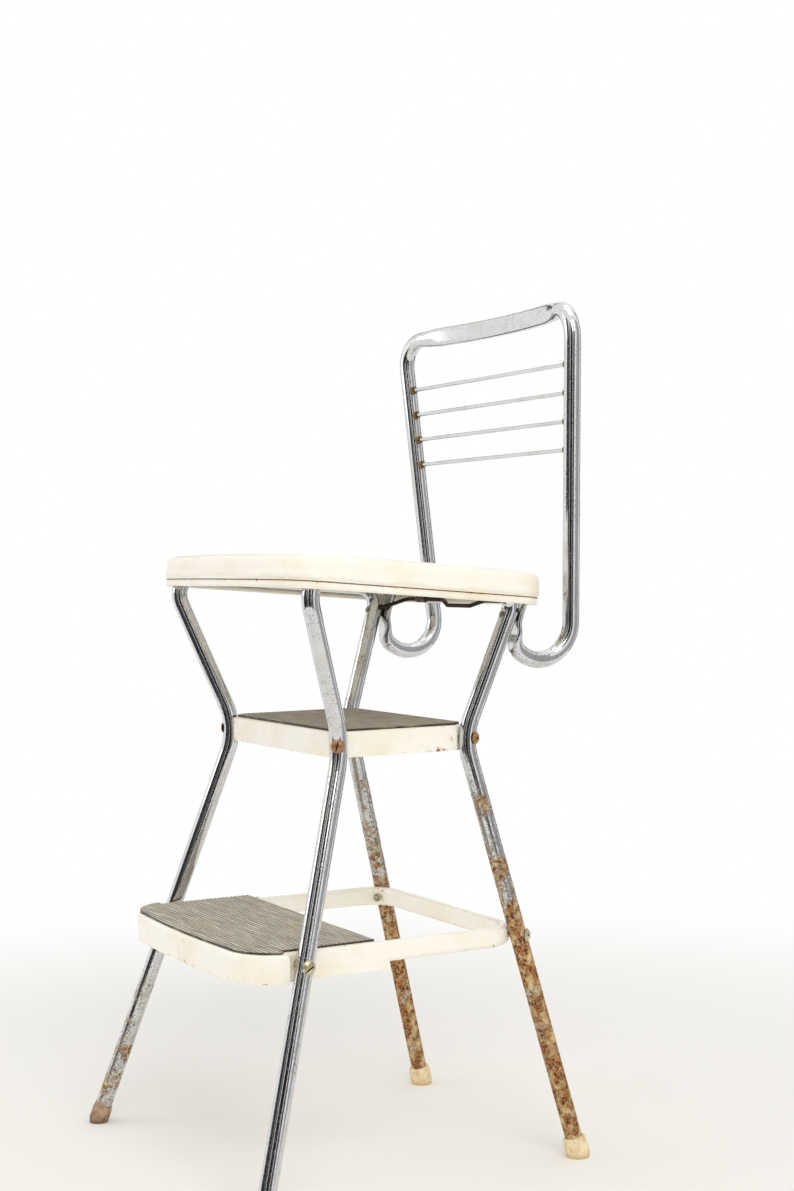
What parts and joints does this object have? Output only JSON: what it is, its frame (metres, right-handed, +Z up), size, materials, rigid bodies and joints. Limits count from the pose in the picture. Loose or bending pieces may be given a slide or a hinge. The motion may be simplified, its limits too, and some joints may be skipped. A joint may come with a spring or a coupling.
{
  "type": "folding step stool chair",
  "caption": "Step stool chair with a bent chrome tube frame, padded flip-up seat on a wire hinge, looped backrest with cross rods, and ribbed rubber treads on two fixed enamelled steps.",
  "frame": {"origin": "on the floor, under the middle of the chair's bounds", "axes": "+Z up, the front of the chair towards -Y, so +X is on the right of someone who faces the chair's front"},
  "size_m": [0.4452, 0.4146, 0.882],
  "materials": {
    "chrome_tube": "bright chrome plate, worn and rusted in spots",
    "chrome_rod": "bright chrome plate",
    "cream_enamel": "glossy cream enamel with small chips",
    "ivory_enamel": "glossy ivory enamel",
    "mat_rubber": "grey-brown ribbed rubber, worn",
    "foot_rubber": "yellowed rubber",
    "vinyl": "cream grained vinyl",
    "foam": "foam padding",
    "black_wire": "black steel wire with a brown cast",
    "clip_steel": "dull steel strip",
    "copper_rust_steel": "plated steel gone copper brown",
    "pale_plated_steel": "pale yellow plated steel",
    "rivet_steel": "plated steel",
    "collar_steel": "rusty steel collars"
  },
  "bodies": {
    "frame": {"side_frame_left": "chrome_tube", "side_frame_right": "chrome_tube", "backrest_tube": "chrome_tube", "foot_front_left": "foot_rubber", "foot_front_right": "foot_rubber", "foot_rear_left": "foot_rubber", "foot_rear_right": "foot_rubber", "back_rod_1": "chrome_rod", "back_rod_2": "chrome_rod", "back_rod_3": "chrome_rod", "back_rod_4": "chrome_rod", "rod_collars": "collar_steel", "back_rivets": "rivet_steel", "upper_step_bolts": "copper_rust_steel", "upper_step_nuts": "copper_rust_steel", "upper_step_pan": "cream_enamel", "upper_step_mat": "mat_rubber", "lower_ring": "cream_enamel", "lower_step_pan": "cream_enamel", "lower_step_mat": "mat_rubber", "lower_step_bolts": "pale_plated_steel", "lower_step_nuts": "pale_plated_steel", "lower_step_spacers": "pale_plated_steel", "hinge_wire": "black_wire"},
    "seat": {"seat_pan": "ivory_enamel", "seat_pad": "foam", "seat_cover": "vinyl", "hinge_clip_left": "clip_steel", "hinge_clip_right": "clip_steel"}
  },
  "joints": [
    {"name": "seat_hinge", "type": "hinge", "parent": "frame", "child": "seat", "pos_m": [0, 0.15216, 0.5714], "axis": [-1, 0, 0], "range_deg": [0, 82]}
  ]
}
